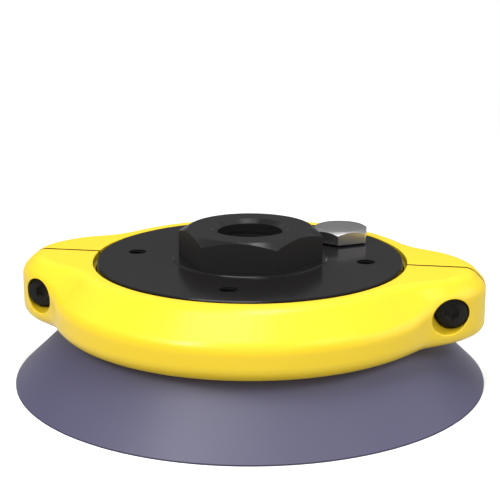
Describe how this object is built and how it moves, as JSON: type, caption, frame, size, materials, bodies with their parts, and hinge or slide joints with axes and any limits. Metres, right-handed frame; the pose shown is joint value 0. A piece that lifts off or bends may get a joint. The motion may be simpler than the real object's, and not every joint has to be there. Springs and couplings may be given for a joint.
{
  "type": "flat vacuum cup",
  "caption": "Flat round vacuum cup for a robot gripper: flared rubber lip with inner cleats, hexagon fitting plate with a threaded supply bore, held together by a split clamp ring.",
  "frame": {"origin": "centre of the circle on which the lip rests", "axes": "+Z along the cup's axis towards the supply thread, +X through the clamp's right-hand ear, -Y towards the side of the screw heads"},
  "size_m": [0.11, 0.11, 0.0351],
  "materials": {
    "rubber": "satin moulded rubber",
    "black_plate": "black anodised, satin",
    "yellow_clamp": "glossy moulded",
    "black_screw": "black oxide",
    "plug": "bright nickel plated",
    "seal": "matte",
    "filter": "plain stainless wire"
  },
  "bodies": {
    "root": {"suction_cup": "rubber", "fitting_plate": "black_plate", "clamp_front_half": "yellow_clamp", "clamp_rear_half": "yellow_clamp", "clamp_screw_left": "black_screw", "clamp_screw_right": "black_screw", "clamp_nut_left": "black_screw", "clamp_nut_right": "black_screw", "port_plug": "plug", "plug_seal": "seal", "mesh_filter": "filter", "filter_ring": "filter"}
  },
  "joints": []
}
